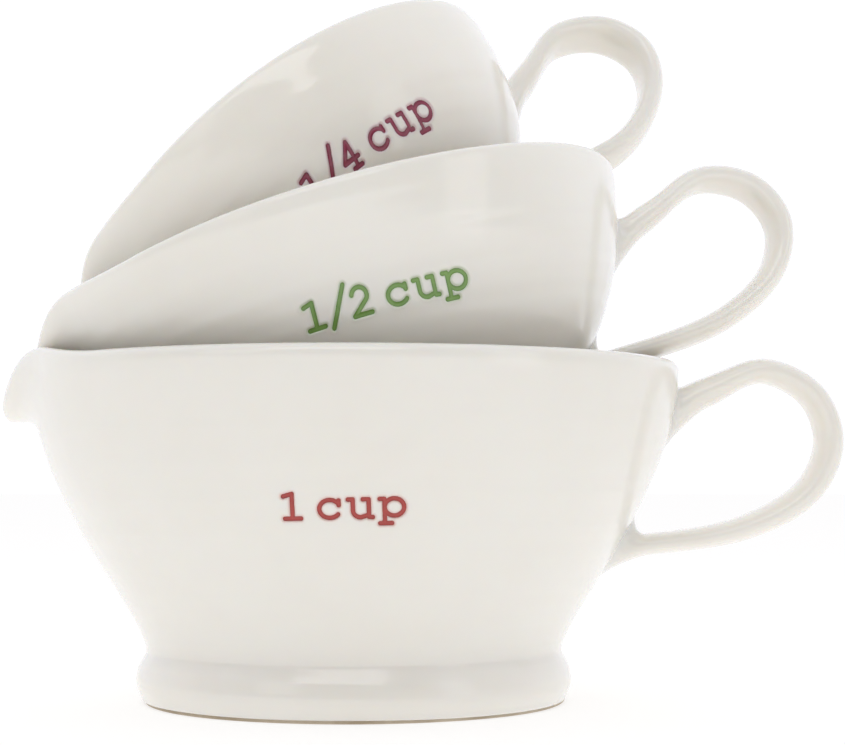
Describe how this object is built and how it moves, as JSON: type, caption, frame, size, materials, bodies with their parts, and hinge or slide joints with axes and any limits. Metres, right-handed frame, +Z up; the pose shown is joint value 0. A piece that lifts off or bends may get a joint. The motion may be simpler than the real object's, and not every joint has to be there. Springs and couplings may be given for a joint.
{
  "type": "measuring cup set",
  "caption": "Nested glazed porcelain measuring cups with foot rings, pulled pouring spouts, strap handles and coloured capacity marks.",
  "frame": {"origin": "bottom centre of the bounding box of the nested set, on the plane the largest cup stands on", "axes": "+Z up, +X toward the handles, -X toward the pouring spouts, -Y toward the capacity marks"},
  "size_m": [0.1434, 0.1104, 0.1234],
  "materials": {
    "glazed_porcelain": "clear gloss glaze over warm white porcelain",
    "bare_porcelain": "foot ring, glazed on its side and wiped bare where it stands",
    "red_glaze": "red colour under clear glaze in a stamped letter",
    "green_glaze": "green colour under clear glaze in a stamped letter",
    "plum_glaze": "plum colour under clear glaze in a stamped letter"
  },
  "bodies": {
    "one_cup": {"one_cup_bowl": "glazed_porcelain", "one_cup_foot_ring": "bare_porcelain", "one_cup_spout": "glazed_porcelain", "one_cup_handle": "glazed_porcelain", "one_cup_mark_1": "red_glaze", "one_cup_mark_c": "red_glaze", "one_cup_mark_u": "red_glaze", "one_cup_mark_p": "red_glaze"},
    "half_cup": {"half_cup_bowl": "glazed_porcelain", "half_cup_foot_ring": "bare_porcelain", "half_cup_spout": "glazed_porcelain", "half_cup_handle": "glazed_porcelain", "half_cup_mark_1": "green_glaze", "half_cup_mark_slash": "green_glaze", "half_cup_mark_2": "green_glaze", "half_cup_mark_c": "green_glaze", "half_cup_mark_u": "green_glaze", "half_cup_mark_p": "green_glaze"},
    "quarter_cup": {"quarter_cup_bowl": "glazed_porcelain", "quarter_cup_foot_ring": "bare_porcelain", "quarter_cup_spout": "glazed_porcelain", "quarter_cup_handle": "glazed_porcelain", "quarter_cup_mark_1": "plum_glaze", "quarter_cup_mark_slash": "plum_glaze", "quarter_cup_mark_4": "plum_glaze", "quarter_cup_mark_c": "plum_glaze", "quarter_cup_mark_u": "plum_glaze", "quarter_cup_mark_p": "plum_glaze"}
  },
  "joints": [
    {"name": "half_cup_lift", "type": "slide", "parent": "one_cup", "child": "half_cup", "axis": [0, 0, 1], "range_m": [0, 0.07]},
    {"name": "quarter_cup_lift", "type": "slide", "parent": "half_cup", "child": "quarter_cup", "axis": [0, 0, 1], "range_m": [0, 0.07]}
  ]
}
